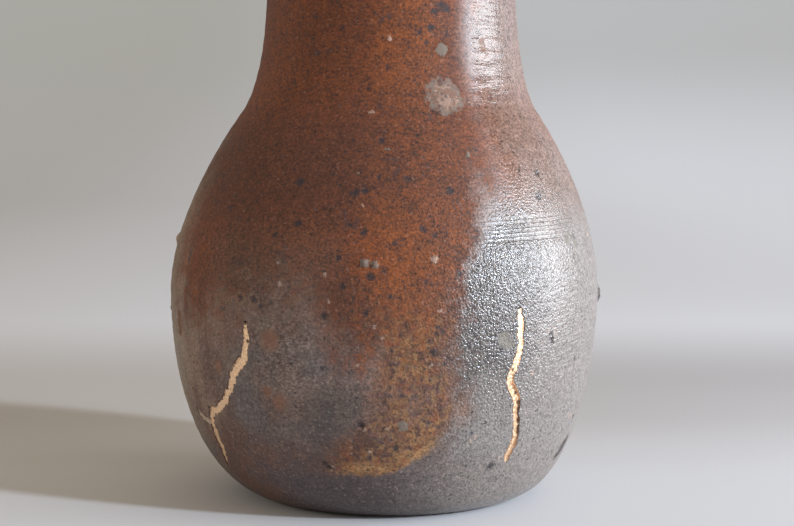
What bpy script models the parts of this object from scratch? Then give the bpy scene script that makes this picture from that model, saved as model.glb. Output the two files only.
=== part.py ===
"""A small wood-fired stoneware vase, broken once and mended with gold lacquer.

Metres, +Z up. The vase stands on its flat foot at Z = 0, with the widest ring of the belly
centred over the origin. Both mended cracks are on the front, which faces -Y.
"""
import math

import bmesh
import bpy
from mathutils import Vector
from mathutils.geometry import interpolate_bezier

# Outside of the body, from the foot up
FOOT_RADIUS = 0.0275
BELLY_RADIUS = 0.0474
BELLY_HEIGHT = 0.0450
COLLAR_RADIUS = 0.0326
COLLAR_HEIGHT = 0.0845
NECK_RADIUS = 0.0272
NECK_HEIGHT = 0.1160
LIP_RADIUS = 0.0290
VASE_HEIGHT = 0.1310

# Run of the outline at those places, in degrees up from straight outwards
FOOT_SLOPE = 6.0
COLLAR_SLOPE = 125.0
LIP_SLOPE = 74.0
UPRIGHT = 90.0

# How far each stretch of the outline holds those directions, from its start and from its end,
# as a share of its length
LOWER_BELLY_PULLS = (0.26, 0.44)
SHOULDER_PULLS = (0.29, 0.36)
THROAT_PULLS = (0.17, 0.51)
RIM_PULLS = (0.35, 0.35)

# Walls
FLOOR_THICKNESS = 0.0060
WALL_THICKNESS = 0.0045
LIP_THICKNESS = 0.0036

# The kiln left the pot a little lopsided: its foot and its neck stand to the right of its belly
FOOT_OFFSET = 0.00135
NECK_OFFSET = 0.00155
FOOT_LEAN_POWER = 4

# Gold seams in the mended cracks, and the grooves that they lie in
SEAM_WIDTH = 0.0022
SEAM_DEPTH = 0.0010
SEAM_CLEARANCE = 0.0003
SEAM_DISH = 0.12
SEAM_FLOOR = 0.60

# How finely the curves are drawn
SIDES = 64
LOWER_BELLY_POINTS = 10
SHOULDER_POINTS = 9
THROAT_POINTS = 7
RIM_POINTS = 4
LIP_STEPS = 5
FINE_DETAIL = 12
CRACK_STEPS = 3
SHARP_ANGLE = 40.0

CLAY_COLOUR = (0.150, 0.082, 0.060)
CLAY_ROUGHNESS = 0.42
GOLD_COLOUR = (0.640, 0.380, 0.210)
GOLD_ROUGHNESS = 0.38
GOLD_METALLIC = 0.85

# Points along a crack: degrees round from the front, height as a share of BELLY_HEIGHT,
# and width as a share of SEAM_WIDTH
LEFT_CRACK = (
    (-36.0, 0.931, 0.30), (-35.9, 0.858, 0.56), (-37.0, 0.778, 0.80), (-40.4, 0.707, 1.00),
    (-43.0, 0.627, 0.86), (-46.0, 0.562, 0.88), (-50.0, 0.509, 1.00), (-53.7, 0.474, 0.95),
    (-55.5, 0.430, 0.66), (-55.6, 0.364, 0.62), (-55.3, 0.298, 0.50), (-57.0, 0.244, 0.36),
    (-58.6, 0.205, 0.22),
)
LEFT_BRANCH = ((-55.2, 0.416, 0.38), (-58.6, 0.429, 0.38), (-62.0, 0.443, 0.42), (-63.4, 0.474, 0.30))
RIGHT_CRACK = (
    (35.8, 0.971, 0.36), (36.0, 0.889, 0.60), (36.2, 0.811, 0.60), (35.0, 0.740, 0.66),
    (33.8, 0.676, 0.72), (34.5, 0.631, 0.84), (36.2, 0.594, 0.88), (37.2, 0.538, 0.68),
    (37.5, 0.480, 0.60), (38.4, 0.400, 0.60), (38.0, 0.347, 0.70), (37.3, 0.302, 0.60),
    (37.5, 0.276, 0.34),
)


def clear_scene():
    for thing in list(bpy.data.objects):
        bpy.data.objects.remove(thing)


def make_material(name, colour, roughness, metallic):
    material = bpy.data.materials.new(name)
    material.use_nodes = True
    shader = material.node_tree.nodes["Principled BSDF"]
    shader.inputs["Base Color"].default_value = (*colour, 1.0)
    shader.inputs["Roughness"].default_value = roughness
    shader.inputs["Metallic"].default_value = metallic
    return material


def add_object(bm, name, material):
    bmesh.ops.recalc_face_normals(bm, faces=bm.faces)
    mesh = bpy.data.meshes.new(name)
    bm.to_mesh(mesh)
    bm.free()
    mesh.shade_smooth()
    mesh.set_sharp_from_angle(angle=math.radians(SHARP_ANGLE))
    mesh.materials.append(material)
    piece = bpy.data.objects.new(name, mesh)
    bpy.context.scene.collection.objects.link(piece)
    return piece


def ease(share):
    """A smooth step from 0 to 1."""
    share = min(max(share, 0.0), 1.0)
    return share * share * (3.0 - 2.0 * share)


# The turned outline, as (radius, height) points
def heading(slope):
    return Vector((math.cos(math.radians(slope)), math.sin(math.radians(slope))))


def stretch(start, start_slope, end, end_slope, pulls, count):
    """One smooth stretch of the outline, as a list of count points."""
    reach = (end - start).length
    leave = start + heading(start_slope) * reach * pulls[0]
    arrive = end - heading(end_slope) * reach * pulls[1]
    return interpolate_bezier(start, leave, arrive, end, count)


def outer_outline(detail):
    """The outside from the edge of the flat foot to the start of the rounded lip."""
    foot = Vector((FOOT_RADIUS, 0.0))
    belly = Vector((BELLY_RADIUS, BELLY_HEIGHT))
    collar = Vector((COLLAR_RADIUS, COLLAR_HEIGHT))
    neck = Vector((NECK_RADIUS, NECK_HEIGHT))
    lip_round = 0.5 * LIP_THICKNESS
    lip = Vector((LIP_RADIUS, VASE_HEIGHT - lip_round * (1.0 + heading(LIP_SLOPE).x)))
    lower_belly = stretch(foot, FOOT_SLOPE, belly, UPRIGHT, LOWER_BELLY_PULLS, LOWER_BELLY_POINTS * detail)
    shoulder = stretch(belly, UPRIGHT, collar, COLLAR_SLOPE, SHOULDER_PULLS, SHOULDER_POINTS * detail)
    throat = stretch(collar, COLLAR_SLOPE, neck, UPRIGHT, THROAT_PULLS, THROAT_POINTS * detail)
    rim = stretch(neck, UPRIGHT, lip, LIP_SLOPE, RIM_PULLS, RIM_POINTS * detail)
    return lower_belly + shoulder[1:] + throat[1:] + rim[1:]


def wall_at(height):
    """Thickness of the wall, from the thick floor up to the thin lip."""
    if height < BELLY_HEIGHT:
        return FLOOR_THICKNESS + (WALL_THICKNESS - FLOOR_THICKNESS) * ease(height / BELLY_HEIGHT)
    share = (height - BELLY_HEIGHT) / (VASE_HEIGHT - BELLY_HEIGHT)
    return WALL_THICKNESS + (LIP_THICKNESS - WALL_THICKNESS) * ease(share)


def inward(outline, index):
    """Unit vector from a point of the outside into the clay."""
    ahead = outline[min(index + 1, len(outline) - 1)]
    behind = outline[max(index - 1, 0)]
    along = (ahead - behind).normalized()
    return Vector((-along.y, along.x))


def lip_arc(outer_end, into_clay):
    """The half-round lip, from the outside over the top to the inside."""
    radius = 0.5 * LIP_THICKNESS
    centre = outer_end + into_clay * radius
    along = Vector((into_clay.y, -into_clay.x))
    arc = []
    for step in range(1, LIP_STEPS):
        turn = math.pi * step / LIP_STEPS
        arc.append(centre - into_clay * radius * math.cos(turn) + along * radius * math.sin(turn))
    return arc


def body_outline():
    outside = outer_outline(1)
    inside = []
    for index in range(len(outside)):
        step = inward(outside, index)
        thickness = wall_at(outside[index].y)
        if index == len(outside) - 1:
            thickness = LIP_THICKNESS
        inside.append(outside[index] + step * thickness)
    lip = lip_arc(outside[-1], inward(outside, len(outside) - 1))
    underside = [Vector((0.0, 0.0))]
    floor = [Vector((0.0, FLOOR_THICKNESS))]
    return underside + outside + lip + inside[::-1] + floor


def lean(height):
    """How far the clay at a height stands to the right of the belly."""
    if height < BELLY_HEIGHT:
        return FOOT_OFFSET * (1.0 - max(height, 0.0) / BELLY_HEIGHT) ** FOOT_LEAN_POWER
    middle_of_neck = 0.5 * (COLLAR_HEIGHT + NECK_HEIGHT)
    return NECK_OFFSET * ease((height - BELLY_HEIGHT) / (middle_of_neck - BELLY_HEIGHT))


# The hollow body
def build_body(material):
    bm = bmesh.new()
    rail = [bm.verts.new((point.x, 0.0, point.y)) for point in body_outline()]
    edges = [bm.edges.new(pair) for pair in zip(rail, rail[1:])]
    bmesh.ops.spin(
        bm, geom=rail + edges, cent=(0.0, 0.0, 0.0), axis=(0.0, 0.0, 1.0),
        angle=2.0 * math.pi, steps=SIDES, use_merge=True)
    bmesh.ops.remove_doubles(bm, verts=bm.verts, dist=1e-6)
    for vertex in bm.verts:
        vertex.co.x += lean(vertex.co.z)
    return add_object(bm, "vase_body", material)


# The mended cracks
FINE_OUTLINE = outer_outline(FINE_DETAIL)


def on_wall(angle, height):
    """Point and outward normal of the outside, at an angle round from the front."""
    upper = 1
    while FINE_OUTLINE[upper].y < height and upper < len(FINE_OUTLINE) - 1:
        upper += 1
    low, high = FINE_OUTLINE[upper - 1], FINE_OUTLINE[upper]
    radius = low.x + (high.x - low.x) * (height - low.y) / (high.y - low.y)
    along = (high - low).normalized()
    turn = math.radians(angle)
    outwards = Vector((math.sin(turn), -math.cos(turn), 0.0))
    point = outwards * radius + Vector((lean(height), 0.0, height))
    normal = outwards * along.y - Vector((0.0, 0.0, along.x))
    return point, normal


def crack_samples(route):
    """A smooth run of (angle, height, width) through a crack's own points.

    Each stretch is a Bezier curve whose handles are a sixth of the way between its neighbours,
    so the run has no corners at the points.
    """
    points = [Vector(point) for point in route]
    samples = []
    for index in range(len(points) - 1):
        before = points[max(index - 1, 0)]
        start, end = points[index], points[index + 1]
        after = points[min(index + 2, len(points) - 1)]
        leave = start + (end - before) / 6.0
        arrive = end - (after - start) / 6.0
        samples += interpolate_bezier(start, leave, arrive, end, CRACK_STEPS)[:-1]
    samples.append(points[-1])
    return samples


def gold_section(half_width):
    """Across a seam: (sideways, outwards) points, dished on top, narrower at the bottom."""
    foot = half_width * SEAM_FLOOR
    dish = 2.0 * half_width * SEAM_DISH
    return [(-half_width, 0.0), (0.0, -dish), (half_width, 0.0), (foot, -SEAM_DEPTH), (-foot, -SEAM_DEPTH)]


def groove_section(half_width):
    """Across a groove's cutter: the seam's section with its clearance, carried on outwards."""
    wide = half_width + SEAM_CLEARANCE
    foot = half_width * SEAM_FLOOR + SEAM_CLEARANCE
    bottom = -SEAM_DEPTH - SEAM_CLEARANCE
    return [(-wide, SEAM_DEPTH), (wide, SEAM_DEPTH), (wide, 0.0), (foot, bottom), (-foot, bottom), (-wide, 0.0)]


def sweep_crack(name, route, section, overrun, material):
    """A closed solid with the section carried along a crack, longer by overrun at both ends."""
    samples = crack_samples(route)
    stations = [on_wall(angle, share * BELLY_HEIGHT) for angle, share, width in samples]
    bm = bmesh.new()
    rings = []
    last = len(stations) - 1
    for index, (point, normal) in enumerate(stations):
        along = (stations[min(index + 1, last)][0] - stations[max(index - 1, 0)][0]).normalized()
        side = along.cross(normal).normalized()
        shift = along * overrun * ((index == last) - (index == 0))
        half_width = 0.5 * SEAM_WIDTH * samples[index].z
        ring = [
            bm.verts.new(point + shift + side * across + normal * out)
            for across, out in section(half_width)]
        rings.append([bm.edges.new(pair) for pair in zip(ring, ring[1:] + ring[:1])])
    for near, far in zip(rings, rings[1:]):
        bmesh.ops.bridge_loops(bm, edges=near + far)
    bmesh.ops.holes_fill(bm, edges=rings[0] + rings[-1])
    bmesh.ops.triangulate(bm, faces=bm.faces)
    return add_object(bm, name, material)


def combine(piece, other, operation):
    """Boolean with a helper object, which is kept out of the finished model."""
    other.hide_render = True
    other.display_type = "WIRE"
    boolean = piece.modifiers.new(other.name, "BOOLEAN")
    boolean.operation = operation
    boolean.solver = "EXACT"
    boolean.object = other


clear_scene()
clay = make_material("fired_clay", CLAY_COLOUR, CLAY_ROUGHNESS, 0.0)
gold = make_material("gold_lacquer", GOLD_COLOUR, GOLD_ROUGHNESS, GOLD_METALLIC)

body = build_body(clay)
for label, crack in (("left", LEFT_CRACK), ("branch", LEFT_BRANCH), ("right", RIGHT_CRACK)):
    groove = sweep_crack("groove_" + label, crack, groove_section, SEAM_CLEARANCE, clay)
    combine(body, groove, "DIFFERENCE")

left_seam = sweep_crack("gold_seam_left", LEFT_CRACK, gold_section, 0.0, gold)
branch_seam = sweep_crack("seam_branch", LEFT_BRANCH, gold_section, 0.0, gold)
combine(left_seam, branch_seam, "UNION")
sweep_crack("gold_seam_right", RIGHT_CRACK, gold_section, 0.0, gold)
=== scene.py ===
"""A small wood-fired stoneware vase, broken once and mended with gold lacquer."""
import math

import bmesh
import bpy
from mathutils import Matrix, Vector, noise
from mathutils.geometry import interpolate_bezier
from mathutils.kdtree import KDTree


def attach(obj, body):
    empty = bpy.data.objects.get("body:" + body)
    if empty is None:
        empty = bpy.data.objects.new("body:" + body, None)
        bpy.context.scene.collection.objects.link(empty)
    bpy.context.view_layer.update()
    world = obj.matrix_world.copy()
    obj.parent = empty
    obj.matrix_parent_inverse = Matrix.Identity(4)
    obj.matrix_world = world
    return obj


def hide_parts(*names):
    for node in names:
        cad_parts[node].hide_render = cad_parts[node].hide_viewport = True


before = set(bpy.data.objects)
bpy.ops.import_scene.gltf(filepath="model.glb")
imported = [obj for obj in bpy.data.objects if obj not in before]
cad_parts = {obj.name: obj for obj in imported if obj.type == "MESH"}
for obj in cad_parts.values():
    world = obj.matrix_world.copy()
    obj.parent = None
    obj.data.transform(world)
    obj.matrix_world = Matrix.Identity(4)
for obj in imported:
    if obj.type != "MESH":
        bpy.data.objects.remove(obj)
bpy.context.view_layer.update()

MM = 0.001

# The body. It was thrown on a wheel from coarse stoneware clay and fired in a wood kiln, which
# left its foot and its neck a little to the right of its belly. It is one hollow piece, with a
# thick floor, a flat foot and a rounded lip.
FOOT_RADIUS = 0.0275
BELLY_RADIUS = 0.0474
BELLY_HEIGHT = 0.0450
COLLAR_RADIUS = 0.0326
COLLAR_HEIGHT = 0.0845
NECK_RADIUS = 0.0272
NECK_HEIGHT = 0.1160
LIP_RADIUS = 0.0290
VASE_HEIGHT = 0.1310
FOOT_SLOPE = 6.0
COLLAR_SLOPE = 125.0
LIP_SLOPE = 74.0
UPRIGHT = 90.0
LOWER_BELLY_PULLS = (0.26, 0.44)
SHOULDER_PULLS = (0.29, 0.36)
THROAT_PULLS = (0.17, 0.51)
RIM_PULLS = (0.35, 0.35)
FLOOR_THICKNESS = 0.0060
WALL_THICKNESS = 0.0045
LIP_THICKNESS = 0.0036
FOOT_OFFSET = 0.00135
NECK_OFFSET = 0.00155
FOOT_LEAN_POWER = 4
SURFACE_CELL = 0.00094
ROUND_STEPS = 330
CURVE_POINTS = 400
MERGE_GAP = 0.000001
INSIDE_STRIDE = 5
LIP_STEPS = 6
DISC_RINGS = 6


def ease(share):
    """A smooth step from 0 to 1."""
    share = min(max(share, 0.0), 1.0)
    return share * share * (3.0 - 2.0 * share)


def heading(slope):
    return Vector((math.cos(math.radians(slope)), math.sin(math.radians(slope))))


def stretch(start, start_slope, end, end_slope, pulls):
    """One smooth stretch of the turned outline."""
    reach = (end - start).length
    leave = start + heading(start_slope) * reach * pulls[0]
    arrive = end - heading(end_slope) * reach * pulls[1]
    return interpolate_bezier(start, leave, arrive, end, CURVE_POINTS)


def evenly(points, gap):
    """Points along a line, about one gap apart."""
    travelled = [0.0]
    for near, far in zip(points, points[1:]):
        travelled.append(travelled[-1] + (far - near).length)
    count = max(1, round(travelled[-1] / gap))
    placed = []
    index = 0
    for step in range(count + 1):
        goal = travelled[-1] * step / count
        while index < len(points) - 2 and travelled[index + 1] < goal:
            index += 1
        share = (goal - travelled[index]) / (travelled[index + 1] - travelled[index])
        placed.append(points[index].lerp(points[index + 1], share))
    return placed


def outside_outline():
    """The outside as (radius, height), from the edge of the flat foot to the start of the lip."""
    foot = Vector((FOOT_RADIUS, 0.0))
    belly = Vector((BELLY_RADIUS, BELLY_HEIGHT))
    collar = Vector((COLLAR_RADIUS, COLLAR_HEIGHT))
    neck = Vector((NECK_RADIUS, NECK_HEIGHT))
    lip = Vector((LIP_RADIUS, VASE_HEIGHT - 0.5 * LIP_THICKNESS * (1.0 + heading(LIP_SLOPE).x)))
    lower_belly = stretch(foot, FOOT_SLOPE, belly, UPRIGHT, LOWER_BELLY_PULLS)
    shoulder = stretch(belly, UPRIGHT, collar, COLLAR_SLOPE, SHOULDER_PULLS)
    throat = stretch(collar, COLLAR_SLOPE, neck, UPRIGHT, THROAT_PULLS)
    rim = stretch(neck, UPRIGHT, lip, LIP_SLOPE, RIM_PULLS)
    return lower_belly + shoulder[1:] + throat[1:] + rim[1:]


OUTLINE = outside_outline()


def wall_at(height):
    """Thickness of the wall, from the thick floor up to the thin lip."""
    if height < BELLY_HEIGHT:
        return FLOOR_THICKNESS + (WALL_THICKNESS - FLOOR_THICKNESS) * ease(height / BELLY_HEIGHT)
    share = (height - BELLY_HEIGHT) / (VASE_HEIGHT - BELLY_HEIGHT)
    return WALL_THICKNESS + (LIP_THICKNESS - WALL_THICKNESS) * ease(share)


def lean(height):
    """How far the clay at a height stands to the right of the belly."""
    if height < BELLY_HEIGHT:
        return FOOT_OFFSET * (1.0 - max(height, 0.0) / BELLY_HEIGHT) ** FOOT_LEAN_POWER
    middle_of_neck = 0.5 * (COLLAR_HEIGHT + NECK_HEIGHT)
    return NECK_OFFSET * ease((height - BELLY_HEIGHT) / (middle_of_neck - BELLY_HEIGHT))


def on_wall(angle, height):
    """Point and outward normal of the outside: degrees round from the front, height in metres."""
    low, high = 0, len(OUTLINE) - 1
    while high - low > 1:
        middle = (low + high) // 2
        if OUTLINE[middle].y < height:
            low = middle
        else:
            high = middle
    under, over = OUTLINE[low], OUTLINE[high]
    radius = under.x + (over.x - under.x) * (height - under.y) / (over.y - under.y)
    along = (over - under).normalized()
    turn = math.radians(angle)
    outwards = Vector((math.sin(turn), -math.cos(turn), 0.0))
    point = outwards * radius + Vector((lean(height), 0.0, height))
    return point, outwards * along.y - Vector((0.0, 0.0, along.x))


def turned_outline():
    """The whole section, from the middle of the underside round the wall to the floor."""
    outside = evenly(OUTLINE, SURFACE_CELL)
    last = len(outside) - 1
    walls = []
    for index, point in enumerate(outside):
        along = (outside[min(index + 1, last)] - outside[max(index - 1, 0)]).normalized()
        walls.append(Vector((-along.y, along.x)))
    inside = []
    for index in range(0, last, INSIDE_STRIDE):
        inside.append(outside[index] + walls[index] * wall_at(outside[index].y))
    inside.append(outside[last] + walls[last] * LIP_THICKNESS)
    into_clay = walls[last]
    upwards = Vector((into_clay.y, -into_clay.x))
    centre = outside[last] + into_clay * 0.5 * LIP_THICKNESS
    lip = []
    for step in range(1, LIP_STEPS):
        turn = math.pi * step / LIP_STEPS
        around = upwards * math.sin(turn) - into_clay * math.cos(turn)
        lip.append(centre + around * 0.5 * LIP_THICKNESS)
    underside = [Vector((FOOT_RADIUS * ring / DISC_RINGS, 0.0)) for ring in range(DISC_RINGS)]
    middle = Vector((0.0, FLOOR_THICKNESS))
    floor = [inside[0].lerp(middle, ring / DISC_RINGS) for ring in range(1, DISC_RINGS + 1)]
    return underside + outside + lip + inside[::-1] + floor


# Marks on the outside, in degrees round from the front, height, radius and rise in mm.
# Iron that boiled out of the clay, blue-black and a little sunk.
IRON_SPOTS = (
    (-5, 60.6, 0.80, -0.06), (-11, 55.6, 0.75, -0.05), (-29, 59.8, 0.60, -0.05), (-2, 78.6, 0.80, -0.08),
    (-25, 70.3, 0.90, -0.06), (-2, 71.4, 0.60, -0.05), (6, 71.0, 0.80, -0.06), (-5.5, 68.6, 0.80, -0.05),
    (-8.5, 68.2, 0.90, -0.05), (-23, 62.2, 1.00, -0.08), (10, 61.2, 0.80, -0.06), (18, 68.6, 0.80, -0.06),
    (51, 71.8, 0.90, -0.08), (48, 67.0, 1.10, -0.06), (43, 72.6, 0.50, -0.05), (-21, 101.6, 0.60, -0.05),
    (-1, 93.4, 0.60, -0.05), (12, 100.6, 0.70, -0.05), (15, 98.6, 0.70, -0.05), (17, 101.6, 0.90, -0.05),
    (19.5, 105.0, 0.90, -0.05), (22.4, 106.2, 1.20, -0.05), (25, 105.4, 0.80, -0.05),
    (-37.4, 46.9, 0.70, -0.08), (-33, 46.8, 0.80, -0.08), (-31, 45.4, 0.50, -0.04),
    (-28, 46.2, 0.50, -0.04), (-14, 44.2, 0.80, -0.10), (-4, 44.8, 0.60, -0.05), (-23, 34.4, 0.40, -0.04),
    (-15, 33.6, 0.45, -0.04), (12.4, 37.2, 0.90, 0.10), (19, 52.4, 0.50, -0.10), (13, 60.0, 0.60, -0.05),
    (3.2, 17.2, 0.80, -0.10), (-5.8, 21.9, 0.90, -0.40), (0, 21.2, 0.45, 0.08), (32, 12.0, 1.10, -0.08),
    (60, 32.6, 0.55, -0.05), (47.0, 38.8, 0.65, -0.35), (47.3, 37.8, 0.65, -0.35), (47.7, 36.9, 0.55, -0.35),
    (83.0, 43.6, 1.05, 0.40), (82.4, 44.7, 1.30, 0.60),
    (82.8, 45.8, 1.05, 0.40), (66.4, 10.5, 1.20, 0.12), (68.0, 11.5, 1.60, 0.18), (69.4, 12.6, 1.60, 0.18),
    (70.6, 13.6, 1.10, 0.12), (26.2, 34.8, 0.50, -0.10), (27.6, 35.4, 0.55, -0.10),
    (29.0, 36.1, 0.55, -0.10),
    (30.3, 36.9, 0.50, -0.10), (-17.0, 13.5, 0.70, -0.45), (-15.9, 12.7, 0.70, -0.45),
    (61, 58.2, 0.50, -0.15),
    (69, 19.0, 0.60, -0.10), (-84, 41.4, 0.80, 0.25), (-3.0, 52.0, 0.90, -0.05), (-9.6, 50.2, 0.80, -0.05),
    (13.2, 41.9, 0.60, -0.04), (14.5, 41.2, 0.65, -0.04), (12.9, 40.8, 0.50, -0.04),
)
# Grit that melted to pale grains, raised a little.
PALE_GRAINS = (
    (-14, 52.2, 0.45, 0.08), (-27, 54.4, 0.45, 0.08), (-26, 50.2, 0.60, 0.10), (-13, 47.0, 0.45, 0.06),
    (-0.2, 39.8, 0.35, 0.10), (-6, 34.4, 0.40, 0.06), (-2, 42.2, 0.50, 0.06), (12.6, 55.2, 0.85, 0.25),
    (14, 45.2, 0.50, 0.08), (12, 34.4, 0.40, 0.06), (1.2, 21.2, 0.45, 0.10), (17, 11.0, 0.40, 0.08),
    (-8, 72.0, 0.35, 0.05), (-6, 65.8, 0.35, 0.05), (32, 86.2, 0.45, 0.12), (-0.8, 99.2, 0.65, 0.15),
    (-7.4, 84.0, 0.50, 0.20), (-6.2, 84.2, 0.50, 0.20), (-15.2, 12.0, 0.35, 0.10), (41, 31.2, 0.45, 0.08),
    (74, 58.0, 0.60, 0.15), (-83.5, 57.0, 1.40, 0.55), (46.0, 40.0, 0.40, 0.08), (-9, 16.0, 0.40, 0.08),
    (47.2, 40.4, 0.40, 0.08), (48.4, 39.8, 0.40, 0.08), (48.8, 38.6, 0.35, 0.08), (-14.9, 12.9, 0.40, 0.12),
    (-4.9, 21.2, 0.45, 0.15), (64, 19.6, 0.45, 0.12), (66.5, 19.2, 0.45, 0.12), (34, 13.6, 0.45, 0.12),
    (-4, 16.4, 0.45, 0.08), (-6.4, 15.2, 0.35, 0.08), (3, 8.2, 0.35, 0.06),
    (22.8, 17.5, 0.40, 0.05), (23.7, 18.0, 0.45, 0.06), (24.7, 18.5, 0.45, 0.06), (25.6, 19.0, 0.35, 0.05),
)
# Grey pebbles and ash crumbs stuck on the glaze.
GREY_CRUMBS = (
    (-4.6, 54.7, 1.05, 0.50), (-1.9, 54.3, 0.90, 0.42), (25.2, 75.7, 0.60, 0.22), (0, 77.0, 0.40, 0.12),
    (21.5, 97.2, 1.50, 0.10), (56.5, 57.8, 1.20, 0.35), (60.4, 56.8, 1.00, 0.40), (5.0, 21.8, 1.20, 0.05),
    (31.0, 38.9, 1.50, -0.12), (32.6, 37.8, 1.20, -0.12),
)
# Bare clay that flashed orange, faint rings of tan ash, and chips down to raw red clay.
ORANGE_FLASHES = (
    (-30.5, 28.2, 1.30, 0.0), (-27.2, 26.2, 1.90, 0.0), (-46.8, 32.2, 1.30, 0.0), (-28.5, 38.8, 2.30, 0.0),
    (-49, 104.6, 0.60, 0.0), (-45, 95.6, 0.60, 0.0),
)
TAN_RINGS = (
    (-42.5, 46.8, 1.00, 0.0), (-36.3, 52.0, 1.10, 0.0), (-33.3, 46.8, 1.30, 0.0), (-29.0, 38.6, 2.20, 0.0),
    (-37.6, 46.8, 1.20, 0.0), (-22.0, 47.0, 1.00, 0.0),
)
CHIPS = (
    (-67.0, 38.0, 1.30, -0.10), (-67.0, 39.6, 1.50, -0.12), (-67.0, 41.2, 1.30, -0.10),
    (42.0, 99.0, 1.00, -0.12), (43.0, 97.6, 0.85, -0.12), (44.2, 96.6, 0.60, -0.10),
)
# A ragged grey and tan patch of ash on the neck.
LICHEN = (21.2, 87.4, 3.4, 0.10)
MARKS = IRON_SPOTS + PALE_GRAINS + GREY_CRUMBS + ORANGE_FLASHES + CHIPS + (LICHEN,)

# The two mended cracks and a branch: degrees round from the front, height and width in mm.
LEFT_CRACK = (
    (-36.0, 41.8, 0.60), (-36.0, 39.8, 1.20), (-35.8, 38.4, 1.10), (-36.5, 36.2, 1.50), (-37.5, 34.0, 2.00),
    (-39.8, 32.4, 1.80), (-40.8, 31.4, 2.20), (-41.8, 29.6, 1.90), (-43.0, 28.2, 1.60), (-44.5, 26.8, 1.55),
    (-45.8, 25.4, 1.60), (-48.0, 24.0, 1.85), (-50.5, 22.8, 1.80), (-53.8, 21.6, 1.95), (-55.2, 20.6, 1.05),
    (-55.4, 19.6, 2.10), (-56.0, 18.4, 1.75), (-55.8, 17.2, 2.15), (-55.8, 15.6, 1.75), (-55.6, 14.2, 1.70),
    (-55.9, 13.0, 1.35), (-57.0, 11.4, 1.15), (-57.7, 10.4, 0.90), (-58.5, 9.3, 0.45),
)
LEFT_BRANCH = (
    (-55.4, 18.8, 1.00), (-58.0, 19.3, 1.20), (-60.5, 19.6, 1.35), (-62.4, 20.2, 1.40), (-63.4, 21.6, 0.70),
)
RIGHT_CRACK = (
    (35.6, 44.6, 0.60), (35.9, 42.4, 1.20), (36.0, 39.8, 1.25), (36.2, 38.2, 1.10), (36.2, 36.8, 1.30),
    (36.0, 35.4, 1.30), (35.2, 34.0, 1.30), (34.8, 32.8, 1.50), (34.0, 31.6, 1.30), (33.8, 30.4, 1.45),
    (33.9, 29.6, 1.40), (34.7, 28.4, 1.45), (35.7, 27.4, 1.50), (36.6, 26.0, 1.45), (37.0, 24.2, 1.45),
    (37.2, 22.8, 1.15), (37.8, 21.2, 1.40), (38.0, 19.8, 1.40), (38.5, 18.4, 1.15), (38.5, 17.2, 1.35),
    (38.2, 16.2, 1.60), (37.8, 14.8, 1.40), (37.2, 13.8, 1.30), (37.5, 12.5, 0.60),
)
CRACK_STEPS = 16
GROOVE_DEPTH = 0.0012
GROOVE_SHOULDER = 0.00022
GROOVE_TRIM = 0.06
GROOVE_WAVERS = ((900.0, 0.32), (2400.0, 0.20))


def crack_line(route):
    """A smooth run of (point on the wall, outward normal, width) along a crack."""
    points = [Vector(point) for point in route]
    line = []
    for index in range(len(points) - 1):
        before = points[max(index - 1, 0)]
        start, end = points[index], points[index + 1]
        after = points[min(index + 2, len(points) - 1)]
        leave = start + (end - before) / 6.0
        arrive = end - (after - start) / 6.0
        for angle, height, width in interpolate_bezier(start, leave, arrive, end, CRACK_STEPS)[:-1]:
            line.append((*on_wall(angle, height * MM), width * MM))
    line.append((*on_wall(points[-1].x, points[-1].y * MM), points[-1].z * MM))
    return line


def tree_of(points):
    tree = KDTree(len(points))
    for index, point in enumerate(points):
        tree.insert(point, index)
    tree.balance()
    return tree


crack_places = crack_line(LEFT_CRACK) + crack_line(LEFT_BRANCH) + crack_line(RIGHT_CRACK)
crack_tree = tree_of([place[0] for place in crack_places])
mark_places = []
for angle, height, radius, rise in MARKS:
    mark_places.append((*on_wall(angle, height * MM), radius * MM, rise * MM))
mark_tree = tree_of([place[0] for place in mark_places])
WIDEST_MARK = 0.0045

pot = bmesh.new()
rail = [pot.verts.new((point.x, 0.0, point.y)) for point in turned_outline()]
rail_edges = [pot.edges.new(pair) for pair in zip(rail, rail[1:])]
bmesh.ops.spin(
    pot, geom=rail + rail_edges, cent=(0.0, 0.0, 0.0), axis=(0.0, 0.0, 1.0),
    angle=2.0 * math.pi, steps=ROUND_STEPS, use_merge=True)
bmesh.ops.remove_doubles(pot, verts=pot.verts, dist=MERGE_GAP)
bmesh.ops.recalc_face_normals(pot, faces=pot.faces)
for vertex in pot.verts:
    vertex.co.x += lean(vertex.co.z)

# Finer faces where a crack or a mark needs them.
FINE_BORDER = 0.0009


def needs_detail(point, border):
    place, index, away = crack_tree.find(point)
    if away < 0.5 * crack_places[index][2] + border:
        return True
    for place, index, away in mark_tree.find_range(point, WIDEST_MARK):
        if mark_places[index][3] and away < mark_places[index][2] + border:
            return True
    return False


for border in (FINE_BORDER, 0.5 * FINE_BORDER):
    fine = [face for face in pot.faces if needs_detail(face.calc_center_median(), border)]
    fine_edges = list({edge for face in fine for edge in face.edges})
    bmesh.ops.subdivide_edges(pot, edges=fine_edges, cuts=1, use_grid_fill=True)

# The surface: soft swells from the hand, faint rings from the wheel, coarse grit, marks and grooves.
SWELLS = ((26.0, 0.00016), (90.0, 0.00007), (320.0, 0.000035))
RING_GAP = 0.0031
RING_RISE = 0.00005
RING_DRIFT_ROUND = 18.0
RING_DRIFT_UP = 60.0
RING_WANDER = 5.0
FOOT_FADE = 0.0025
MARK_SPREAD = 1.15
UNDERSIDE = 0.00005
TOP_OF_WALL = 0.1289
SKIN_DEPTH = 0.0008
CRACK_REACH = 0.01


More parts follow.
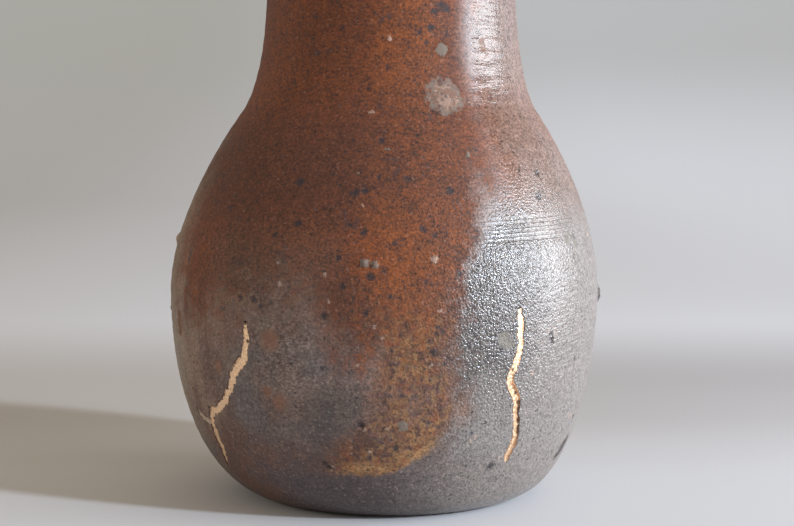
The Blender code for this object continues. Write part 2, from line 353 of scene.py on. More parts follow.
def hand_and_wheel(point):
    rise = sum(height * noise.noise(point * rate) for rate, height in SWELLS)
    drift = Vector((point.x * RING_DRIFT_ROUND, point.y * RING_DRIFT_ROUND, point.z * RING_DRIFT_UP))
    flow = noise.noise(drift)
    wave = math.sin(2.0 * math.pi * point.z / RING_GAP + RING_WANDER * flow)
    rise += RING_RISE * wave * (0.5 + flow)
    return rise * ease(point.z / FOOT_FADE)


def marks_at(point):
    rise = 0.0
    for place, index, away in mark_tree.find_range(point, WIDEST_MARK):
        share = away / (MARK_SPREAD * mark_places[index][2])
        if share < 1.0:
            rise += mark_places[index][3] * (1.0 - share * share) ** 2
    return rise


distance_layer = pot.verts.layers.float.new("from_crack")
inside_layer = pot.verts.layers.float.new("inside")
pot.normal_update()
moves = []
for vertex in pot.verts:
    point = vertex.co.copy()
    radius = math.hypot(point.x - lean(point.z), point.y)
    level = min(max(point.z, 0.0), TOP_OF_WALL)
    skin = (on_wall(0.0, level)[0].xy - Vector((lean(point.z), 0.0))).length
    outer = point.z > UNDERSIDE and radius > skin - SKIN_DEPTH
    rise = hand_and_wheel(point)
    vertex[inside_layer] = 0.0 if outer or point.z < UNDERSIDE else 1.0
    vertex[distance_layer] = 1.0
    if outer:
        rise += marks_at(point)
        place, index, away = crack_tree.find(point)
        waver = sum(reach * noise.noise(point * rate) for rate, reach in GROOVE_WAVERS)
        edge = away - crack_places[index][2] * (0.5 - GROOVE_TRIM + waver)
        vertex[distance_layer] = min(max(edge / MM, -1.0), 1.0) if away < CRACK_REACH else 1.0
        rise -= GROOVE_DEPTH * ease(-edge / GROOVE_SHOULDER + 0.5)
    moves.append(vertex.normal * rise)
for vertex, move in zip(pot.verts, moves):
    vertex.co += move


def finished(bm, name):
    """An object made of a bmesh, smooth and in the vase's own frame."""
    mesh = bpy.data.meshes.new(name)
    bm.to_mesh(mesh)
    bm.free()
    mesh.shade_smooth()
    piece = bpy.data.objects.new(name, mesh)
    bpy.context.scene.collection.objects.link(piece)
    return piece


body = finished(pot, "vase_clay")


class Flow:
    """A value in a material's nodes. Sums and products of it add Math nodes."""

    def __init__(self, tree, socket=None):
        self.tree = tree
        self.socket = socket

    def node(self, kind, inputs, output=0, **settings):
        """A new node, its settings made first and then its sockets; gives one of its outputs."""
        added = self.tree.nodes.new(kind)
        for name, value in settings.items():
            setattr(added, name, value)
        for name, value in inputs.items():
            if isinstance(value, Flow):
                self.tree.links.new(value.socket, added.inputs[name])
            else:
                added.inputs[name].default_value = value
        return Flow(self.tree, added.outputs[output])

    def math(self, operation, first, second=0.0):
        return self.node("ShaderNodeMath", {0: first, 1: second}, operation=operation)

    def __add__(self, other):
        return self.math("ADD", self, other)

    def __sub__(self, other):
        return self.math("SUBTRACT", self, other)

    def __rsub__(self, other):
        return self.math("SUBTRACT", other, self)

    def __mul__(self, other):
        return self.math("MULTIPLY", self, other)

    __radd__ = __add__
    __rmul__ = __mul__


def rising(value, low, high):
    """0 up to low, 1 from high on, with a smooth step between; low may be the greater."""
    return value.node("ShaderNodeMapRange", {0: value, 1: low, 2: high}, interpolation_type="SMOOTHSTEP")


def between(value, low, high, soft):
    return rising(value, low - soft, low + soft) * rising(value, high + soft, high - soft)


def coloured(mask, under, over):
    """A colour laid over another where the mask is 1."""
    inputs = {0: mask, 6: under, 7: over}
    for index in (6, 7):
        if not isinstance(inputs[index], Flow):
            inputs[index] = (*inputs[index], 1.0)
    return mask.node("ShaderNodeMix", inputs, output=2, data_type="RGBA")


def clouds(place, size, detail=2.0, rough=0.5):
    """Noise from 0 to 1 with patches of a size in metres."""
    inputs = {"Vector": place, "Scale": 1.0 / size, "Detail": detail, "Roughness": rough}
    return place.node("ShaderNodeTexNoise", inputs)


def in_marks(place, marks):
    """How far a place is from the nearest of some marks, as a share of its radius."""
    nearest = None
    for angle, height, radius, rise in marks:
        middle = on_wall(angle, height * MM)[0]
        away = place.node("ShaderNodeVectorMath", {0: place, 1: middle}, output=1, operation="DISTANCE")
        share = away * (1.0 / (radius * MM))
        nearest = share if nearest is None else place.math("MINIMUM", nearest, share)
    return nearest


RUST = (0.148, 0.037, 0.008)
ORANGE = (0.200, 0.050, 0.007)
BROWN = (0.072, 0.022, 0.010)
DUN = (0.112, 0.062, 0.042)
ASH = (0.165, 0.110, 0.088)
WARM_ASH = (0.205, 0.122, 0.080)
PALE_ASH = (0.290, 0.220, 0.190)
COOL_ASH = (0.108, 0.096, 0.096)
SLATE = (0.058, 0.041, 0.043)
PALE_FOOT = (0.184, 0.160, 0.142)
DARK_GLAZE = (0.050, 0.041, 0.037)
# A pale grey that is partly the ash's own colour and partly a painted sheen.
GREY_WITH_PAINTED_SHEEN = (0.190, 0.171, 0.158)
NEUTRAL_GREY = (0.185, 0.172, 0.160)
OCHRE = (0.352, 0.190, 0.078)
IRON = (0.018, 0.013, 0.016)
PLUM = (0.052, 0.024, 0.020)
FELDSPAR = (0.360, 0.250, 0.190)
STONE = (0.170, 0.145, 0.118)
FLASH = (0.230, 0.090, 0.042)
RED_CLAY = (0.130, 0.055, 0.032)
EDGE_ASH_AND_RIM_SHEEN = (0.270, 0.225, 0.165)
LINING = (0.050, 0.024, 0.015)
RAW_CLAY = (0.100, 0.060, 0.042)
CHIP_RED = (0.145, 0.062, 0.030)
LICHEN_TAN = (0.230, 0.150, 0.105)
BROAD_PATCH = 0.018
OTHER_BROAD_PATCH = 0.014
PATCH = 0.0050
OTHER_PATCH = 0.0042
MOTTLE = 0.0019
OTHER_MOTTLE = 0.0013
GRAIN = 0.00052
OTHER_GRAIN = 0.00060
PEEL = 0.00047
GRIT = 0.00042

fired_clay = bpy.data.materials.new("fired_clay")
fired_clay.use_nodes = True
shader = fired_clay.node_tree.nodes["Principled BSDF"]
start = Flow(fired_clay.node_tree)
place = start.node("ShaderNodeTexCoord", {}, output=3)
x = start.node("ShaderNodeSeparateXYZ", {0: place})
y = start.node("ShaderNodeSeparateXYZ", {0: place}, output=1)
height = start.node("ShaderNodeSeparateXYZ", {0: place}, output=2) * 1000.0
angle = start.math("ARCTAN2", x - 0.5 * NECK_OFFSET, 0.0 - y) * math.degrees(1.0)

broad = clouds(place, BROAD_PATCH, 3.0)
patchy = clouds(place, PATCH, 4.0, 0.6)
mottled = clouds(place, MOTTLE, 3.0, 0.65)
flattened = start.node("ShaderNodeVectorMath", {0: place, 1: (0.8, 0.8, 1.3)}, operation="MULTIPLY")
grainy = clouds(flattened, GRAIN, 2.0, 0.6)
drift = start.node("ShaderNodeVectorMath", {0: place, 1: (0.031, 0.017, 0.023)}, operation="ADD")
other_broad = clouds(drift, OTHER_BROAD_PATCH, 3.0)
other_patchy = clouds(drift, OTHER_PATCH, 4.0, 0.6)
other_mottled = clouds(drift, OTHER_MOTTLE, 2.0, 0.6)
other_grainy = clouds(drift, OTHER_GRAIN, 1.0)
peel = clouds(place, PEEL, 1.0)
pit = rising(peel, 0.56, 0.40)

# Bare rusty clay above a wavy tide line, and an orange plume that runs down the front. Each zone is
# given in degrees round from the front and in mm of height.
dither = (patchy - 0.5) * 1.6 + (mottled - 0.5) * 1.6 + (grainy - 0.5) * 1.2
turn = angle + (broad - 0.5) * 14.0 + dither * 6.0
tide = 48.0 - 13.0 * between(angle, -15.0, 0.0, 5.0)
tide = tide - 5.0 * rising(angle, -30.0, -45.0) * rising(angle, -170.0, -130.0)
ragged_turn = turn + (other_patchy - 0.5) * 14.0
tide = tide + 20.0 * rising(ragged_turn, 16.0, 26.0) - 20.0 * rising(turn, 100.0, 170.0)
above = height - tide + (other_broad - 0.5) * 12.0 + (other_patchy - 0.5) * 14.0 + dither * 9.0
upper = rising(above, -9.0, 9.0)
right_of_tip = start.math("MAXIMUM", angle + 6.0, 0.0)
plume_foot = 11.4 + 0.0165 * right_of_tip * right_of_tip + (patchy - 0.5) * 5.0 + (other_mottled - 0.5) * 2.5
fading = rising(angle, 9.0, 18.0) * rising(height, 38.0, 30.0)
plume_left = -3.0 - 12.0 * rising(height, 26.0, 13.0) - 7.0 * rising(height, 36.0, 47.0)
plume_right = rising(ragged_turn, 22.5 - 0.5 * fading, 17.0 - 5.0 * fading)
in_plume = rising(turn - plume_left, -7.0, 6.0) * plume_right
low_edge = height - plume_foot
plume = in_plume * rising(low_edge, -1.0 - 3.5 * fading, 0.8 + 4.5 * fading)
bare = start.math("MAXIMUM", upper, plume)

warm = coloured(rising(broad + 0.5 * patchy, 0.60, 0.95) * 0.40, RUST, BROWN)
muted = between(turn, -50.0, -12.0, 8.0) * between(height, 42.0, 60.0, 8.0)
warm = coloured(muted * 0.55, warm, DUN)
shoulder = between(height, 64.0, 84.0, 7.0) * rising(turn, 24.0, -6.0) * rising(turn, -165.0, -120.0)
warm = coloured(shoulder * 0.66, warm, BROWN)
tongue = between(turn, -15.0, -2.0, 4.0) * between(height, 36.0, 52.0, 4.0)
warm = coloured(tongue * 0.62, warm, BROWN)
flame = rising(start.math("ABSOLUTE", turn - 9.0, 0.0), 22.0, 4.0) * rising(height, 18.0, 32.0)
flame = flame * (1.0 - 0.65 * between(height, 64.0, 90.0, 7.0))
warm = coloured(flame * (0.40 + 0.60 * rising(other_patchy + 0.5 * mottled, 0.52, 0.90)), warm, ORANGE)
low_plume = in_plume * rising(height, 54.0, 31.0)
murky = coloured(rising(other_mottled + 0.5 * grainy + 0.5 * patchy, 0.82, 1.16), OCHRE, SLATE)
murky = coloured(rising(mottled + 0.6 * other_patchy, 0.72, 1.00) * 0.8, murky, RUST)
warm = coloured(low_plume * (0.55 + 0.40 * rising(other_patchy, 0.40, 0.60)), warm, murky)
greyed = between(turn, -6.0, 12.0, 4.0) * between(height, 19.0, 30.0, 4.0)
warm = coloured(greyed * 0.45 * rising(patchy + 0.5 * mottled, 0.66, 0.86), warm, ASH)
ochre_line = in_plume * rising(low_edge, 3.2, 0.6) * rising(patchy, 0.34, 0.55) * (1.0 - 0.75 * fading)
warm = coloured(ochre_line * 0.85, warm, OCHRE)

ash = coloured(rising(turn, -34.0, -50.0) * rising(turn, -150.0, -90.0) * 0.8, ASH, WARM_ASH)
ash = coloured(rising(broad + 0.5 * patchy, 0.66, 0.92) * 0.6, ash, BROWN)
freckled = between(turn, -32.0, -2.0, 6.0) * between(height, 27.0, 43.0, 5.0)
freckles = rising(0.5 * mottled + 0.6 * grainy, 0.50, 0.70) * (0.20 + 0.45 * freckled)
ash = coloured(freckles, ash, PALE_ASH)
foot_tone = coloured(rising(turn, -8.0, 30.0) * rising(turn, 165.0, 110.0), SLATE, PALE_FOOT)
ash = coloured(rising(height + (other_patchy - 0.5) * 12.0, 23.0, 10.0) * 0.85, ash, foot_tone)
cool = between(turn, -42.0, -6.0, 7.0) * between(height, 18.0, 37.0, 5.0)
cool = cool * rising(other_broad + 0.5 * patchy, 0.62, 0.84)
ash = coloured(cool * 0.70, ash, COOL_ASH)
smoked = between(turn, -20.0, -5.0, 4.0) * between(height, 16.0, 30.0, 3.0)
ash = coloured(smoked * 0.52, ash, DARK_GLAZE)
low_left = between(turn, -62.0, -36.0, 8.0) * rising(height, 22.0, 14.0)
low_left = low_left + 0.7 * between(turn, -36.0, -12.0, 6.0) * between(height, 11.5, 17.0, 3.0)
ash = coloured(low_left * (0.3 + 0.6 * rising(other_patchy, 0.40, 0.60)), ash, RED_CLAY)
gloss_edge = ragged_turn - 12.0 * rising(height, 52.0, 68.0)
glossy = rising(gloss_edge, 13.0, 25.0) * rising(turn, 150.0, 110.0)
glossy = glossy * rising(height + 6.0 * dither, 72.0, 59.0)
dark_glaze = glossy * rising(height + 8.0 * dither, 24.0, 36.0) * rising(turn, 48.0, 34.0)
# On the glossy right side the grey grows paler further round to the right: partly the ash's own grey, partly
# a painted sheen.
glossy_grey_with_painted_sheen = coloured(rising(turn, 26.0, 44.0), NEUTRAL_GREY, GREY_WITH_PAINTED_SHEEN)
ash = coloured(glossy * 0.80 * rising(height, 9.0, 18.0), ash, glossy_grey_with_painted_sheen)
ash = coloured(dark_glaze * (0.42 + 0.50 * pit), ash, DARK_GLAZE)
# A pale grey veil over the rust on the right side and up the neck: partly ash, partly a painted sheen where
# the light from the right reflects.
ash_veil_and_painted_sheen = rising(turn, 28.0, 48.0) * rising(turn, 160.0, 100.0)
ash_veil_and_painted_sheen = ash_veil_and_painted_sheen * (1.0 - 0.25 * between(height, 76.0, 90.0, 5.0))
warm = coloured(ash_veil_and_painted_sheen * 0.54, warm, GREY_WITH_PAINTED_SHEEN)
warm = coloured(rising(turn, 8.0, 22.0) * between(height, 30.0, 68.0, 6.0) * pit * 0.6, warm, DARK_GLAZE)
colour = coloured(bare, ash, warm)
streaky = start.node("ShaderNodeVectorMath", {0: place, 1: (260.0, 260.0, 28.0)}, operation="MULTIPLY")
streaky = start.node("ShaderNodeTexNoise", {"Vector": streaky, "Scale": 1.0, "Detail": 2.0})
streaks = rising(streaky, 0.48, 0.62) * rising(turn, -34.0, -50.0) * rising(turn, -150.0, -110.0)
colour = coloured(streaks * 0.45 * rising(height, 62.0, 44.0), colour, BROWN)
# A paler band along the far left edge: partly ash dust, partly a painted sheen of the room reflected at the
# grazing edge.
dust_and_painted_rim_sheen = rising(ragged_turn, -58.0, -80.0) * rising(ragged_turn, -150.0, -110.0)
dust_and_painted_rim_sheen = dust_and_painted_rim_sheen * between(height + (other_broad - 0.5) * 30.0 + 8.0 * dither, 16.0, 70.0, 12.0)
colour = coloured(dust_and_painted_rim_sheen * 0.60, colour, EDGE_ASH_AND_RIM_SHEEN)

# Grain and specks, then the marks.
# Darker clay in a band from the front round to the right, strongest on the bare clay above the tide: painted
# shade that tones down the light from the right.
painted_shade_band = between(angle, 3.0, 30.0, 9.0) * (0.04 + 0.18 * bare * rising(height, 24.0, 38.0))
tone = 1.0 - painted_shade_band + (grainy - 0.5) * (1.4 + 0.8 * bare)
tone = tone + (mottled - 0.5) * (0.6 + 0.6 * bare) + (other_grainy - 0.5) * 0.8
colour = start.node("ShaderNodeVectorMath", {0: colour, 3: tone}, operation="SCALE")
clusters = rising(other_patchy + 0.6 * other_mottled, 0.70, 0.54) * (0.3 + 0.4 * bare)
colour = coloured(clusters, colour, PLUM)
colour = coloured(rising(other_mottled, 0.36, 0.26) * 0.70, colour, IRON)
colour = coloured(rising(other_grainy, 0.34, 0.24) * 0.75, colour, IRON)
colour = coloured(rising(other_grainy, 0.62, 0.76) * (0.6 - 0.4 * bare), colour, PALE_ASH)
wobble = start.node("ShaderNodeTexNoise", {"Vector": place, "Scale": 1500.0, "Detail": 2.0}, output=1)
wobble = start.node("ShaderNodeVectorMath", {0: wobble, 1: (-0.5, -0.5, -0.5)}, operation="ADD")
wobble = start.node("ShaderNodeVectorMath", {0: wobble, 3: 0.0019}, operation="SCALE")
ragged = start.node("ShaderNodeVectorMath", {0: place, 1: wobble}, operation="ADD")
straggle = start.node("ShaderNodeTexNoise", {"Vector": place, "Scale": 520.0, "Detail": 3.0}, output=1)
straggle = start.node("ShaderNodeVectorMath", {0: straggle, 1: (-0.5, -0.5, -0.5)}, operation="ADD")
straggle = start.node("ShaderNodeVectorMath", {0: straggle, 3: 0.0042}, operation="SCALE")
straggling = start.node("ShaderNodeVectorMath", {0: place, 1: straggle}, operation="ADD")
tan_ring = in_marks(ragged, TAN_RINGS)
colour = coloured(between(tan_ring, 0.72, 1.10, 0.22) * 0.60, colour, WARM_ASH)
chip = rising(in_marks(ragged, CHIPS), 1.15, 0.70)
colour = coloured(chip * 0.85, colour, CHIP_RED)
flash = in_marks(ragged, ORANGE_FLASHES)
colour = coloured(rising(flash, 1.3, 0.4) * 0.65, colour, FLASH)
crumb = in_marks(ragged, GREY_CRUMBS)
colour = coloured(rising(crumb, 1.15, 0.7) * 0.8, colour, STONE)
lichen = in_marks(straggling, (LICHEN,))
rim = between(lichen, 0.86, 1.22, 0.16) * rising(other_mottled, 0.34, 0.56)
colour = coloured(rising(lichen, 1.10, 0.80) * 0.45, colour, LICHEN_TAN)
colour = coloured(rising(lichen, 1.00, 0.70) * rising(mottled, 0.46, 0.58) * 0.45, colour, FELDSPAR)
dark_flecks = rising(lichen, 1.00, 0.80) * rising(grainy + 0.5 * other_mottled, 0.72, 0.60)
colour = coloured(dark_flecks * 0.7, colour, SLATE)
colour = coloured(rim * 0.65, colour, STONE)
pale = in_marks(ragged, PALE_GRAINS)
colour = coloured(rising(pale, 1.2, 0.5) * 0.75, colour, FELDSPAR)
iron = in_marks(ragged, IRON_SPOTS)
colour = coloured(rising(iron, 1.42, 0.40) * 0.86, colour, IRON)
stuck = rising(crumb, 1.3, 0.8) + rising(iron, 1.3, 0.8) * rising(angle, 58.0, 64.0)
from_crack = start.node("ShaderNodeAttribute", {}, output=2, attribute_name="from_crack")
colour = coloured(rising(from_crack, 0.22, 0.02), colour, LINING)
inside = start.node("ShaderNodeAttribute", {}, output=2, attribute_name="inside")
colour = coloured(inside, colour, RAW_CLAY)

# Fine relief, as heights in mm: grit, orange peel on the glossy side, ripples and turning lines.
TURNING_GAP = 0.86
along_side = angle * (math.radians(1.0) * BELLY_RADIUS / MM)
ripple_place = start.node(
    "ShaderNodeCombineXYZ", {0: along_side * 0.30, 1: (height - along_side * 0.10) * 1.35, 2: 0.0})
ripples = start.node("ShaderNodeTexNoise", {"Vector": ripple_place, "Scale": 1.0, "Detail": 1.0})
rippled = between(angle, 46.0, 95.0, 8.0) * between(height, 24.0, 56.0, 8.0)
pebbled = 0.45 + 0.20 * rising(angle, 0.0, 14.0) * rising(angle, 170.0, 120.0) + 0.55 * glossy
pebbled = pebbled * (1.0 - 0.50 * rippled)
grit = clouds(place, GRIT, 1.0)
wheel_place = start.node("ShaderNodeVectorMath", {0: place, 1: (30.0, 30.0, 900.0)}, operation="MULTIPLY")
wheel = start.node("ShaderNodeTexNoise", {"Vector": wheel_place, "Scale": 1.0, "Detail": 2.0})
neck_wave = start.node("ShaderNodeVectorMath", {0: place, 1: (130.0, 130.0, 800.0)}, operation="MULTIPLY")
neck_wave = start.node("ShaderNodeTexNoise", {"Vector": neck_wave, "Scale": 1.0, "Detail": 2.0})
dulled = rising(angle + 4.0 * dither, 57.0, 66.0)
shiny = rising(angle, 27.0, 41.0) * (1.0 - 0.75 * dulled) * rising(angle, 150.0, 110.0)
waved = shiny * rising(height, 66.0, 86.0)
pebbled = pebbled * (1.0 - 0.55 * rising(height, 64.0, 78.0))
level = height - 0.020 * (angle - 40.0) + 0.5 * patchy
grooved = between(angle, 24.0, 62.0, 5.0) * between(level, 58.3, 63.3, 0.5)
turning = start.math("MAXIMUM", start.math("SINE", level * (2.0 * math.pi / TURNING_GAP)), 0.0) * grooved
pebbled = pebbled * (1.0 - 0.6 * grooved) * (1.0 - 0.45 * rising(height, 27.0, 15.0))
relief = peel * pebbled * 0.235 + grit * 0.07 + ripples * rippled * 0.20 + wheel * 0.05
relief = relief + neck_wave * waved * 0.24 - turning * (0.01 + 0.11 * mottled)
bump = start.node("ShaderNodeBump", {"Strength": 1.0, "Distance": MM, "Height": relief})
rough = 0.46 - 0.31 * glossy * (1.0 - 0.10 * shiny) * (1.0 - 0.75 * dulled)
rough = rough - 0.22 * shiny * (1.0 - glossy) + 0.10 * (mottled - 0.5)
rough = rough + 0.3 * inside + 0.30 * chip + 0.6 * stuck + 0.36 * bare * (1.0 - shiny)
fired_clay.node_tree.links.new(colour.socket, shader.inputs["Base Color"])
fired_clay.node_tree.links.new(rough.socket, shader.inputs["Roughness"])
fired_clay.node_tree.links.new(bump.socket, shader.inputs["Normal"])
shader.inputs["IOR"].default_value = 1.53
body.data.materials.append(fired_clay)
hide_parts("vase_body")
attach(body, "root")

# The gold seams. Each crack was glued and filled with lacquer, level with the clay, and dusted
# with gold powder before it set. The left one forks near its lower end.
SEAM_DEPTH = 0.0010
SEAM_STRETCH = 1.012
SEAM_OVERLAP = 0.00022
SEAM_SINK = 0.00006
SEAM_DISH = 0.00010
SEAM_GAP = 0.00012
SEAM_ROWS = 14
SEAM_TAPER = 0.6
SEAM_GRAINS = ((1500.0, 0.00004), (3300.0, 0.00003))
GOLD = (1.000, 0.715, 0.460)
DULL_GOLD = (0.520, 0.260, 0.130)
SHADED_GOLD = (0.300, 0.125, 0.050)
WORN_GREY = (0.440, 0.360, 0.320)
# Places where the gold has worn through to the lacquer.
GOLD_FLECKS = (
    (34.4, 32.4, 0.40, 0.0), (36.0, 27.5, 0.40, 0.0), (37.4, 25.4, 0.50, 0.0), (-36.0, 41.9, 0.50, 0.0),
    (-35.5, 38.2, 0.45, 0.0), (-41.6, 28.6, 0.35, 0.0), (-44.4, 27.6, 0.30, 0.0),
)


def seam_grid(bm, route, across_layer):
    """One strip of gold along a crack: a grid closed below by an extrusion, laid in the groove."""
    line = crack_line(route)
    places = [place[0] for place in line]
    length = sum((far - near).length for near, far in zip(places, places[1:]))
    made = bmesh.ops.create_grid(bm, x_segments=round(length / SEAM_GAP), y_segments=SEAM_ROWS, size=0.5)
    faces = list({face for vertex in made["verts"] for face in vertex.link_faces})
    under = bmesh.ops.extrude_face_region(bm, geom=faces)
    below = {item for item in under["geom"] if isinstance(item, bmesh.types.BMVert)}
    last = len(line) - 1
    for vertex in set(made["verts"]) | below:
        run = (vertex.co.x * SEAM_STRETCH + 0.5) * last
        index = min(max(int(run), 0), last - 1)
        share = run - index
        near, far = line[index], line[index + 1]
        middle = near[0].lerp(far[0], share)
        normal = near[1].lerp(far[1], share).normalized()
        width = near[2] + (far[2] - near[2]) * share
        ahead, behind = line[min(index + 4, last)][0], line[max(index - 3, 0)][0]
        side = (ahead - behind).cross(normal).normalized()
        across = 2.0 * vertex.co.y
        half = 0.5 * width + SEAM_OVERLAP
        if vertex in below:
            out = -SEAM_DEPTH
            half *= SEAM_TAPER
        else:
            spot = middle + side * across * half
            out = -SEAM_SINK - SEAM_DISH * (1.0 - across * across)
            out += sum(height * noise.noise(spot * rate) for rate, height in SEAM_GRAINS)
        vertex[across_layer] = across
        vertex.co = middle + side * across * half + normal * out


gold_lacquer = bpy.data.materials.new("gold_lacquer")
gold_lacquer.use_nodes = True
shader = gold_lacquer.node_tree.nodes["Principled BSDF"]
start = Flow(gold_lacquer.node_tree)
place = start.node("ShaderNodeTexCoord", {}, output=3)
across = start.node("ShaderNodeAttribute", {}, output=2, attribute_name="across")
height = start.node("ShaderNodeSeparateXYZ", {0: place}, output=2) * 1000.0
powder = clouds(place, 0.00040, 2.0, 0.7)
blotch = clouds(place, 0.0011, 2.0, 0.6)
aside = start.node("ShaderNodeSeparateXYZ", {0: place}) * 1000.0
edge = rising(start.math("ABSOLUTE", across, 0.0) + (blotch - 0.5) * 1.2, 0.45, 0.90)
dullness = 0.40 + 0.25 * rising(aside, -10.0, 10.0)
colour = coloured(rising(powder, 0.60, 0.42) * dullness, GOLD, DULL_GOLD)
colour = coloured(edge * dullness, colour, DULL_GOLD)
colour = coloured(rising(blotch, 0.33, 0.24) * 0.5, colour, LINING)
# The right seam's right flank, below about 34 mm, is darker gold: painted shade along the side of the
# groove.
painted_shade_flank = rising(across + (blotch - 0.5) * 1.4, 0.3, -0.8) * rising(aside, -40.0, 10.0)
colour = coloured(painted_shade_flank * rising(height, 34.0, 30.0) * 0.80, colour, SHADED_GOLD)
unfilled = rising(across + (blotch - 0.5) * 1.2, -0.25, -0.65) * between(height, 17.5, 25.4, 1.0)
colour = coloured(unfilled * rising(aside, 0.0, 1.0) * 0.9, colour, LINING)
colour = coloured(rising(in_marks(place, GOLD_FLECKS), 1.3, 0.7) * 0.85, colour, LINING)
colour = coloured(rising(aside, -35.9, -36.9) * 0.70, colour, WORN_GREY)
relief = powder * 0.08 + blotch * 0.18
bump = start.node("ShaderNodeBump", {"Strength": 1.0, "Distance": MM, "Height": relief})
rough = 0.42 + 0.30 * (powder - 0.5)
gold_lacquer.node_tree.links.new(colour.socket, shader.inputs["Base Color"])
gold_lacquer.node_tree.links.new(rough.socket, shader.inputs["Roughness"])
gold_lacquer.node_tree.links.new(bump.socket, shader.inputs["Normal"])
shader.inputs["Metallic"].default_value = 0.75

for side_name, routes in (("left", (LEFT_CRACK, LEFT_BRANCH)), ("right", (RIGHT_CRACK,))):
    gold = bmesh.new()
    across_layer = gold.verts.layers.float.new("across")
    for route in routes:
        seam_grid(gold, route, across_layer)
    bmesh.ops.recalc_face_normals(gold, faces=gold.faces)
    seam = finished(gold, "gold_" + side_name)
    seam.data.materials.append(gold_lacquer)
    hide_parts("gold_seam_" + side_name)
    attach(seam, "root")

# The floor that it stands on for its picture. It is one pale sweep that runs flat under the vase and curves
# up far behind it.
# Its tone is graded by place with painted light and painted shadow. It isn't part of the vase.
FLOOR_FLAT = 1.4
FLOOR_REACH = 4.6
FLOOR_RISE = 0.90
FLOOR_RINGS = 24
FLOOR_SIDES = 96
# Floor tones by place, each pair left then right. The middle band just behind the vase is a painted shadow.
# The far floor and the rise behind are painted brighter to the right, as painted light, and the near floor
# is painted darker on the right, as painted shade.
NEAR_COLOURS = ((0.590, 0.583, 0.590), (0.452, 0.446, 0.468))
SHADOW_BAND_COLOURS = ((0.390, 0.358, 0.334), (0.358, 0.344, 0.355))
FAR_COLOURS = ((0.430, 0.409, 0.390), (0.820, 0.850, 0.925))
HIGH_COLOURS = ((0.386, 0.378, 0.336), (0.545, 0.556, 0.565))
table = bmesh.new()
sweep = [table.verts.new((0.0, 0.0, 0.0)), table.verts.new((FLOOR_FLAT, 0.0, 0.0))]
for ring in range(1, FLOOR_RINGS + 1):
    out = ring / FLOOR_RINGS
    reach = FLOOR_FLAT + (FLOOR_REACH - FLOOR_FLAT) * out
    sweep.append(table.verts.new((reach, 0.0, FLOOR_RISE * out * out)))
sweep_edges = [table.edges.new(pair) for pair in zip(sweep, sweep[1:])]
bmesh.ops.spin(
    table, geom=sweep + sweep_edges, cent=(0.0, 0.0, 0.0), axis=(0.0, 0.0, 1.0),
    angle=2.0 * math.pi, steps=FLOOR_SIDES, use_merge=True)
bmesh.ops.remove_doubles(table, verts=table.verts, dist=MERGE_GAP)
bmesh.ops.recalc_face_normals(table, faces=table.faces)
if table.faces[0].normal.z < 0.0:
    bmesh.ops.reverse_faces(table, faces=table.faces)
ground = finished(table, "ground")
pale_floor = bpy.data.materials.new("pale_floor")
pale_floor.use_nodes = True
shader = pale_floor.node_tree.nodes["Principled BSDF"]
start = Flow(pale_floor.node_tree)
place = start.node("ShaderNodeTexCoord", {}, output=3)
fibre = clouds(place, 0.0012, 2.0)
far_side = start.node("ShaderNodeSeparateXYZ", {0: place}, output=1)
high_up = start.node("ShaderNodeSeparateXYZ", {0: place}, output=2)
sideways = start.node("ShaderNodeSeparateXYZ", {0: place})
near = coloured(rising(sideways, -0.06, 0.12), *NEAR_COLOURS)
middle = coloured(rising(sideways, -0.06, 0.12), *SHADOW_BAND_COLOURS)
near = coloured(rising(far_side, 0.01, 0.10), near, middle)
far = coloured(rising(sideways, -0.50, 0.40), *FAR_COLOURS)
high = coloured(rising(sideways, -0.50, 0.40), *HIGH_COLOURS)
colour = coloured(rising(far_side, 0.15, 0.34), near, far)
colour = coloured(rising(high_up, -0.06, 0.25), colour, high)
colour = coloured(fibre * 0.12, colour, (0.60, 0.59, 0.57))
pale_floor.node_tree.links.new(colour.socket, shader.inputs["Base Color"])
shader.inputs["Roughness"].default_value = 0.85
ground.data.materials.append(pale_floor)

# The light is soft and comes mostly from the right: a far lamp for the sparkle on the gloss, a wide
# panel close by for the sheen on the belly and the neck, and a weak warm fill on the left.
KEY_TURN = 60.0
KEY_RISE = 22.0
KEY_SPREAD = 5.0
KEY_COLOUR = (0.72, 0.83, 1.00)
KEY_POWER = 3.35
WINDOW_TURN = 82.0
WINDOW_RISE = 10.0
WINDOW_AWAY = 0.36
WINDOW_SIZE = (0.30, 0.18)
WINDOW_COLOUR = (0.88, 0.94, 1.00)
WINDOW_POWER = 1.10
WINDOW_FAN = 130.0
FILL_TURN = -92.0
FILL_RISE = 14.0
FILL_AWAY = 1.0
FILL_SIZE = (0.35, 0.25)
FILL_COLOUR = (1.00, 0.92, 0.80)
FILL_POWER = 1.7


def towards(turn, rise):
    """Unit vector towards a light, by degrees round from the front and above the floor."""
    turn, rise = math.radians(turn), math.radians(rise)
    return Vector((math.sin(turn) * math.cos(rise), -math.cos(turn) * math.cos(rise), math.sin(rise)))


def add_light(name, kind, turn, rise, away, colour, power):
    light = bpy.data.lights.new(name, kind)
    light.color = colour
    light.energy = power
    lamp = bpy.data.objects.new(name, light)
    lamp.location = Vector((0.0, 0.0, BELLY_HEIGHT)) + towards(turn, rise) * away
    lamp.rotation_euler = towards(turn, rise).to_track_quat("Z", "Y").to_euler()
    bpy.context.scene.collection.objects.link(lamp)
    return light


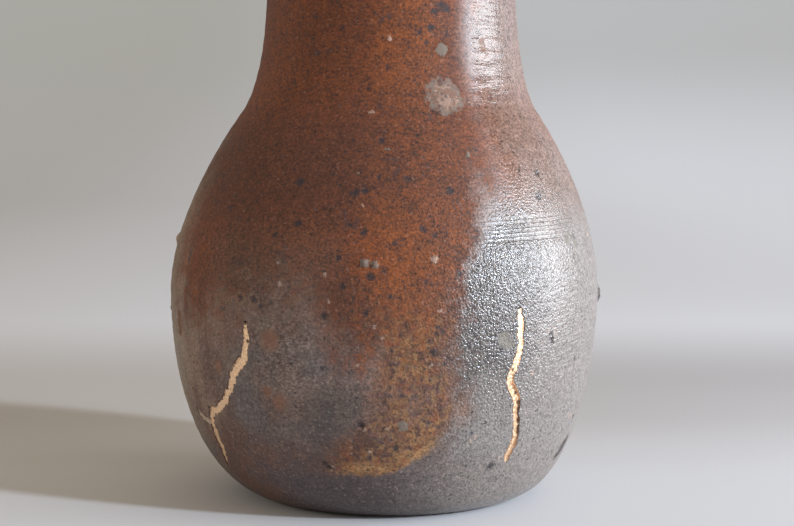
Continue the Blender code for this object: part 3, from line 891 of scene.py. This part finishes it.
key = add_light("key", "SUN", KEY_TURN, KEY_RISE, 1.0, KEY_COLOUR, KEY_POWER)
key.angle = math.radians(KEY_SPREAD)
window = add_light("window", "AREA", WINDOW_TURN, WINDOW_RISE, WINDOW_AWAY, WINDOW_COLOUR, WINDOW_POWER)
window.shape = "RECTANGLE"
window.size, window.size_y = WINDOW_SIZE
window.spread = math.radians(WINDOW_FAN)
fill = add_light("fill", "AREA", FILL_TURN, FILL_RISE, FILL_AWAY, FILL_COLOUR, FILL_POWER)
fill.shape = "RECTANGLE"
fill.size, fill.size_y = FILL_SIZE

# The room around it is plain and dim, and a little brighter towards the right and the far left.
HORIZON_COLOUR = (0.450, 0.435, 0.415)
CEILING_COLOUR = (0.460, 0.390, 0.300)
room = bpy.data.worlds.new("room")
room.use_nodes = True
bpy.context.scene.world = room
start = Flow(room.node_tree)
direction = start.node("ShaderNodeTexCoord", {}, output=0)
sideways = start.node("ShaderNodeSeparateXYZ", {0: direction})
upwards = start.node("ShaderNodeSeparateXYZ", {0: direction}, output=2)
walls = coloured(rising(upwards, 0.15, 0.85), HORIZON_COLOUR, CEILING_COLOUR)
backdrop = room.node_tree.nodes["Background"]
room.node_tree.links.new(walls.socket, backdrop.inputs["Color"])
brightness = 0.95 + 0.35 * rising(sideways, -0.40, 0.40) + 0.60 * rising(sideways, -0.72, -0.95)
room.node_tree.links.new(brightness.socket, backdrop.inputs["Strength"])

# The camera stands close in front, level with the collar and turned down a little, so that the
# neck is cut off by the upper edge of the picture.
CAMERA_PLACE = (0.00283, -0.37580, 0.08160)
CAMERA_DROP = 4.67
CAMERA_LENS = 76.4
camera = bpy.data.objects.new("camera", bpy.data.cameras.new("camera"))
camera.data.lens = CAMERA_LENS
camera.data.sensor_width = 36.0
camera.data.clip_start = 0.01
camera.location = CAMERA_PLACE
camera.rotation_euler = (math.radians(90.0 - CAMERA_DROP), 0.0, 0.0)
bpy.context.scene.collection.objects.link(camera)
bpy.context.scene.camera = camera
bpy.context.scene.view_settings.view_transform = "Standard"
